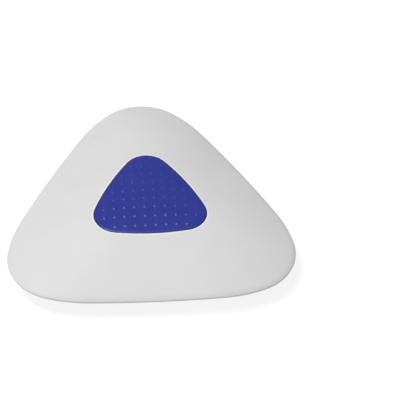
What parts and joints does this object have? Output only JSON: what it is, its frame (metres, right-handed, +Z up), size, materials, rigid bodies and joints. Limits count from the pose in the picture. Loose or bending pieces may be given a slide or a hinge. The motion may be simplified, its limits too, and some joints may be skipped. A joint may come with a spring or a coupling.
{
  "type": "triangular eraser",
  "caption": "Rounded triangular eraser with a domed top, a thin rounded edge and a flat base, and a dotted blue finger grip let into each face.",
  "frame": {"origin": "middle of the plan, on the flat base that the eraser lies on", "axes": "+Z up through the domed top, +Y towards one corner, X along the side opposite that corner"},
  "size_m": [0.056, 0.0526, 0.011],
  "materials": {
    "white_vinyl": "matte moulded vinyl",
    "blue_grip": "satin moulded plastic with raised dots"
  },
  "bodies": {
    "root": {"eraser_body": "white_vinyl", "top_grip": "blue_grip", "bottom_grip": "blue_grip"}
  },
  "joints": []
}
